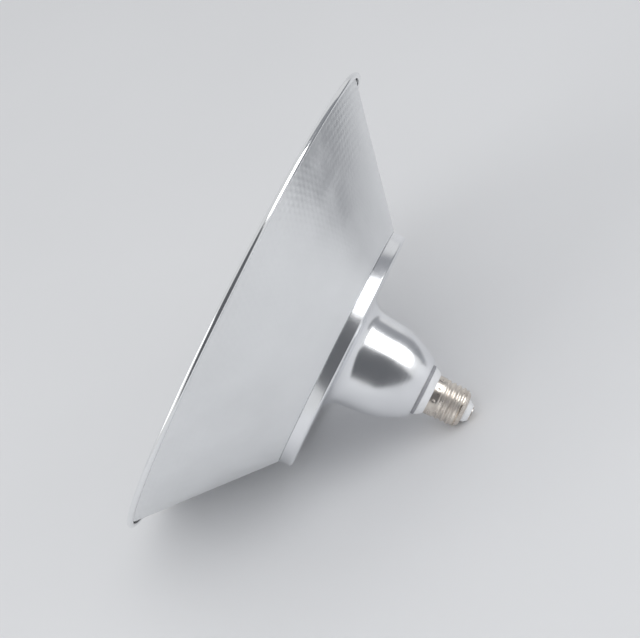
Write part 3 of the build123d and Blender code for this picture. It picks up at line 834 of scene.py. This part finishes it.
def pan_head_screw(length):
    """One screw, head down, its seat at z = 0, with a cross recess cut in the head."""
    screw = turned(
        "pan_head_screw",
        eased(
            [
                (0, -screw_head_height),
                (screw_head, -screw_head_height),
                (screw_head, 0),
                (screw_shank, 0),
                (screw_shank, length),
                (0, length),
            ],
            [0, 0.8 * MM, 0, 0, 0.2 * MM, 0],
        ),
        zinc,
        32,
    )
    bm = bmesh.new()
    half = recess_length / 2
    slim = recess_width / 2
    outline = [
        (half, -slim), (half, slim), (slim, slim), (slim, half), (-slim, half), (-slim, slim),
        (-half, slim), (-half, -slim), (-slim, -slim), (-slim, -half), (slim, -half), (slim, -slim),
    ]
    floor_level = recess_depth - screw_head_height
    cross = bm.faces.new([bm.verts.new((x, y, floor_level)) for x, y in outline])
    grown = bmesh.ops.extrude_face_region(bm, geom=[cross])["geom"]
    moved = [v for v in grown if isinstance(v, bmesh.types.BMVert)]
    bmesh.ops.translate(bm, verts=moved, vec=(0, 0, -2 * recess_depth))
    cutter = finish_mesh("cross_cutter", bm, zinc, 30)
    cut = screw.modifiers.new("cross_recess", "BOOLEAN")
    cut.object = cutter
    cut.operation = "DIFFERENCE"
    made_plain(screw)
    bpy.data.objects.remove(cutter)
    return screw


def screw_ring_tree():
    """A ring of one given piece."""
    sockets = [("Count", "Int"), ("Radius", "Float"), ("Level", "Float"), ("Piece", "Object")]
    tree, put = ring_tree("screw_ring", sockets + [("Material", "Material")])
    given = put("NodeGroupInput")
    piece = put("GeometryNodeObjectInfo", {"Object": given["Piece"], "As Instance": True})["Geometry"]
    whole = ring_of_pieces(put, given, piece)
    done = put("GeometryNodeSetMaterial", {"Geometry": whole, "Material": given["Material"]})[0]
    tree.links.new(done, tree.nodes.new("NodeGroupOutput").inputs[0])
    return tree


screw_tree = screw_ring_tree()
for ring_name in ("board_screws", "shade_screws"):
    ring_low, ring_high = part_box(ring_name)
    seat = ring_low.z + screw_head_height
    one_screw = pan_head_screw(ring_high.z - seat)
    screws = from_tree(
        ring_name + "_pan_heads",
        screw_tree,
        Count=screws_in_ring,
        Radius=ring_high.x - screw_head,
        Level=seat,
        Piece=one_screw,
        Material=zinc,
    )
    bpy.data.objects.remove(one_screw)
    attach(screws, "root")
    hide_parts(ring_name)

# ---------------------------------------------------------------------------------------------
# Diffuser. A shallow dish of frosted polycarbonate, moulded with a flange for the screws, which
# covers the LED board inside the top of the shade.

dish_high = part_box("diffuser")[1]
dish_wall = 1.5 * MM
dish_rise = 4.5 * MM
dish_dome = 4.0 * MM
dish_bend = 3.0 * MM
dish_radius = 69.5 * MM

frosted = surface("frosted_polycarbonate", (0.90, 0.905, 0.91), 0.0, 0.5, Transmission_Weight=0.35)
tint(frosted, between(frosted, noise(frosted, 40), 0, 1), (0.88, 0.885, 0.89), (0.92, 0.925, 0.93))
plug(frosted, "Roughness", between(frosted, noise(frosted, 600), 0.45, 0.6))
bump(frosted, noise(frosted, 3000, 2), 0.02 * MM, 0.5)

flange_level = dish_high.z - dish_wall / 2
dish_face = dish_high.z - dish_wall - dish_rise
dome_radius = (dish_radius**2 + dish_dome**2) / (2 * dish_dome)
dome_sweep = degrees(asin(dish_radius / dome_radius))
dome_middle = (0, dish_face - dish_dome + dome_radius)
dome_path = arc(dome_middle, dome_radius, -90, dome_sweep, 40)
dish_path = bent(
    [dome_path[-3], dome_path[-1], (dish_radius, flange_level), (dish_high.x, flange_level)],
    [dish_bend, dish_wall],
)
dish = turned(
    "frosted_dish", sheet_section(dome_path[:-3] + dish_path, dish_wall), frosted, 192, 50
)
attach(dish, "root")
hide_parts("diffuser")

# ---------------------------------------------------------------------------------------------
# Driver. A white plastic sleeve in the bell holds the green circuit board, with its transformer,
# capacitors and small parts, and four insulated leads run to the cap and to the LED board.

finish_node("driver_sleeve", (0.80, 0.80, 0.77), (0.76, 0.76, 0.73), 0.0, 0.45, 120, 0.01 * MM)
finish_node("insulator_disc", (0.27, 0.22, 0.16), (0.22, 0.18, 0.13), 0.0, 0.75, 300, 0.03 * MM)
finish_node("driver_board", (0.05, 0.24, 0.11), (0.04, 0.19, 0.09), 0.0, 0.30, 250, 0.01 * MM)
finish_node("transformer_core", (0.10, 0.10, 0.11), (0.07, 0.07, 0.08), 0.0, 0.55, 500, 0.03 * MM)
finish_node("transformer_coil", (0.80, 0.62, 0.10), (0.74, 0.56, 0.08), 0.0, 0.30, 200, 0.01 * MM)
finish_node("input_capacitor", (0.04, 0.04, 0.05), (0.06, 0.06, 0.07), 0.0, 0.28, 200, 0.01 * MM)
finish_node("output_capacitor", (0.04, 0.04, 0.05), (0.06, 0.06, 0.07), 0.0, 0.28, 200, 0.01 * MM)
finish_node("film_capacitor", (0.78, 0.54, 0.08), (0.72, 0.48, 0.06), 0.0, 0.38, 300, 0.01 * MM)
finish_node("choke", (0.30, 0.12, 0.05), (0.24, 0.09, 0.04), 0.0, 0.35, 400, 0.02 * MM)
finish_node("fusible_resistor", (0.40, 0.43, 0.40), (0.35, 0.38, 0.35), 0.0, 0.50, 500, 0.01 * MM)
finish_node("varistor", (0.06, 0.18, 0.45), (0.05, 0.14, 0.38), 0.0, 0.35, 400, 0.03 * MM)
finish_node("bridge_rectifier", (0.03, 0.03, 0.035), (0.05, 0.05, 0.055), 0.0, 0.5, 600, 0.01 * MM)
finish_node("driver_chip", (0.03, 0.03, 0.035), (0.05, 0.05, 0.055), 0.0, 0.5, 900, 0.01 * MM)
finish_node("lock_nut", (0.10, 0.10, 0.11), (0.13, 0.13, 0.14), 0.0, 0.50, 250, 0.02 * MM)
finish_node("live_lead", (0.25, 0.11, 0.05), (0.21, 0.09, 0.04), 0.0, 0.40, 300, 0.005 * MM)
finish_node("neutral_lead", (0.06, 0.15, 0.50), (0.05, 0.12, 0.44), 0.0, 0.40, 300, 0.005 * MM)
finish_node("positive_lead", (0.55, 0.04, 0.03), (0.48, 0.03, 0.03), 0.0, 0.40, 300, 0.005 * MM)
finish_node("negative_lead", (0.03, 0.03, 0.03), (0.045, 0.045, 0.045), 0.0, 0.40, 300, 0.005 * MM)


# ---------------------------------------------------------------------------------------------
# Studio. The lamp lies on a pale sheet, on its rim and on the end of its cap, between soft boxes.
# One lights only the metal and one only the sheet. Cards, which the camera doesn't see, stand
# for the darker parts of the room. The card below the sheet's right edge is painted shadow: it
# stands for the shadowed part of the sheet, which the cone reflects.

view_fall = radians(1.7)            # the camera looks slightly from the cap's side
view_roll = radians(116.6)
view_distance = 1.32
lens = 117.6
seen_middle = Vector((-0.0107, -0.0025, 0.0494))

ahead = Vector((0, cos(view_fall), -sin(view_fall)))
upright = Vector((0, sin(view_fall), cos(view_fall)))
across = Vector((1, 0, 0))
image_right = across * cos(view_roll) + upright * sin(view_roll)
image_up = upright * cos(view_roll) - across * sin(view_roll)

camera_data = bpy.data.cameras.new("camera")
camera_data.lens = lens
camera_data.sensor_width = 36
camera_data.clip_end = 50
camera = bpy.data.objects.new("camera", camera_data)
bpy.context.scene.collection.objects.link(camera)
camera.matrix_world = Matrix.Translation(seen_middle - ahead * view_distance) @ Matrix(
    (image_right, image_up, -ahead)
).transposed().to_4x4()
bpy.context.scene.camera = camera

# The sheet touches the rim at one side and the end of the cap.
lean = radians(54)
rest_way = Vector((cos(lean), sin(lean), 0))
rim_point = rest_way * rim_radius
tip_point = rest_way * contact_radius + Vector((0, 0, contact_high.z))
along_sheet = (tip_point - rim_point).normalized()
across_sheet = Vector((-sin(lean), cos(lean), 0))
sheet_up = along_sheet.cross(across_sheet).normalized()
if sheet_up.dot(rest_way) > 0:
    sheet_up = -sheet_up
sheet_front = (-ahead + sheet_up * ahead.dot(sheet_up)).normalized()
sheet_side = sheet_up.cross(sheet_front)
sheet_gap = 0.5 * MM             # under the cap's tip
sheet_back = 2.6
sheet_left = 3.0
sheet_front_edge = 0.46
sheet_right_edge = 0.26         # from the rim's middle to the near right edge

paper = surface("pale_paper", (0.77, 0.775, 0.79), 0.0, 0.7, Specular_IOR_Level=0.2)
tint(paper, between(paper, noise(paper, 3), 0, 1), (0.76, 0.765, 0.78), (0.78, 0.785, 0.80))
shader = paper.node_tree.nodes["Principled BSDF"]
clear = node(paper, "ShaderNodeBsdfTransparent")
behind = node(paper, "ShaderNodeNewGeometry").outputs["Backfacing"]
one_sided = node(
    paper, "ShaderNodeMixShader", {0: behind, 1: shader.outputs[0], 2: clear.outputs[0]}
)
paper.node_tree.links.new(one_sided.outputs[0], paper.node_tree.nodes["Material Output"].inputs[0])


def studio_face(name, corners, facing, material):
    """One flat face of the studio, its front towards a direction."""
    bm = bmesh.new()
    face = bm.faces.new([bm.verts.new(corner) for corner in corners])
    bm.normal_update()
    if face.normal.dot(facing) < 0:
        bmesh.ops.reverse_faces(bm, faces=[face])
    mesh = bpy.data.meshes.new(name)
    bm.to_mesh(mesh)
    bm.free()
    mesh.materials.append(material)
    made = bpy.data.objects.new(name, mesh)
    bpy.context.scene.collection.objects.link(made)
    return made


sheet_level = sheet_up * (tip_point.dot(sheet_up) - sheet_gap)
sheet_corners = [
    (-sheet_left, sheet_front_edge),
    (-sheet_left, -sheet_back),
    (sheet_right_edge + sheet_back / 2, -sheet_back),
    (sheet_right_edge, 0.08),
    (0.60, 0.20),
    (0.60, sheet_front_edge),
]
studio_face(
    "pale_sheet",
    [sheet_level + sheet_side * i + sheet_front * j for i, j in sheet_corners],
    sheet_up,
    paper,
)
lamp_middle = Vector((0, 0, 0.09))


def towards(turn, rise, distance):
    """A place seen from the lamp: turned from the front towards the right, risen off the sheet."""
    turn, rise = radians(turn), radians(rise)
    level = sheet_front * cos(turn) + sheet_side * sin(turn)
    return lamp_middle + (level * cos(rise) + sheet_up * sin(rise)) * distance


def panel(turns, rises, distance):
    """Middle, sides and size of an upright rectangle that spans two angles each way."""
    turn, rise = sum(turns) / 2, sum(rises) / 2
    middle = towards(turn, rise, distance)
    inward = (lamp_middle - middle).normalized()
    wide_way = sheet_up.cross(inward).normalized()
    tall_way = inward.cross(wide_way)
    wide = 2 * distance * tan(radians(turns[1] - turns[0]) / 2) * cos(radians(rise))
    tall = 2 * distance * tan(radians(rises[1] - rises[0]) / 2)
    return middle, inward, wide_way, tall_way, wide, tall


def softbox(name, turns, rises, distance, brightness, on_sheet=True, in_metal=True):
    """An area light that faces the lamp, and may be for the pale sheet or for the metal only."""
    middle, inward, wide_way, tall_way, wide, tall = panel(turns, rises, distance)
    light = bpy.data.lights.new(name, "AREA")
    light.shape = "RECTANGLE"
    light.size, light.size_y = wide, tall
    light.energy = brightness * pi * wide * tall
    box = bpy.data.objects.new(name, light)
    axes = Matrix((wide_way, tall_way, -inward)).transposed()
    if axes.determinant() < 0:
        axes = Matrix((-wide_way, tall_way, -inward)).transposed()
    box.matrix_world = Matrix.Translation(middle) @ axes.to_4x4()
    box.visible_camera = False
    box.visible_diffuse = on_sheet
    box.visible_glossy = in_metal
    bpy.context.scene.collection.objects.link(box)
    return light


def card(name, turns, rises, distance, material, lights_sheet=False):
    """A card that faces the lamp, seen by neither the camera nor, mostly, the sheet."""
    middle, inward, wide_way, tall_way, wide, tall = panel(turns, rises, distance)
    corners = [
        middle + wide_way * i * wide / 2 + tall_way * j * tall / 2
        for i, j in ((-1, -1), (1, -1), (1, 1), (-1, 1))
    ]
    made = studio_face(name, corners, inward, material)
    made.visible_camera = False
    made.visible_shadow = False
    made.visible_diffuse = lights_sheet
    return made


def card_paint(name, grey):
    """A flat tone for a card, slightly blue."""
    paint = surface(name, (0, 0, 0), 0.0, 1.0, Specular_IOR_Level=0.0)
    shader = paint.node_tree.nodes["Principled BSDF"]
    shader.inputs["Emission Color"].default_value = (grey * 0.95, grey * 0.98, grey * 1.05, 1)
    shader.inputs["Emission Strength"].default_value = 1.0
    return paint


dim = card_paint("dim_room", 0.13)
dusk = card_paint("dusky_room", 0.28)
# Painted shadow: a dim glowing tone for the card that stands for the sheet's shadowed part.
painted_shadow_tone = card_paint("dark_floor", 0.24)
softbox("right_softbox", (47, 89), (7, 55), 1.5, 0.8)
softbox("right_softbox_shine", (47, 89), (7, 55), 1.49, 2.2, on_sheet=False)
softbox("front_fill", (-30, 40), (25, 75), 1.8, 0.50, in_metal=False)
softbox("left_softbox", (-105, -55), (12, 55), 1.8, 0.9)
card("room_in_front", (-36, 42), (-30, 70), 2.2, dim)
card("room_at_right", (84, 122), (-12, 50), 2.4, dusk, True)
# Painted shadow: this card below the sheet's right edge shows in the cone as the sheet's shadow.
card("dark_floor_at_right", (60, 150), (-60, -8), 1.6, painted_shadow_tone)

world = bpy.data.worlds.new("pale_room")
world.use_nodes = True
world.node_tree.nodes["Background"].inputs["Color"].default_value = (0.98, 0.99, 1.0, 1)
world.node_tree.nodes["Background"].inputs["Strength"].default_value = 0.72
bpy.context.scene.world = world
bpy.context.scene.view_settings.view_transform = "Standard"
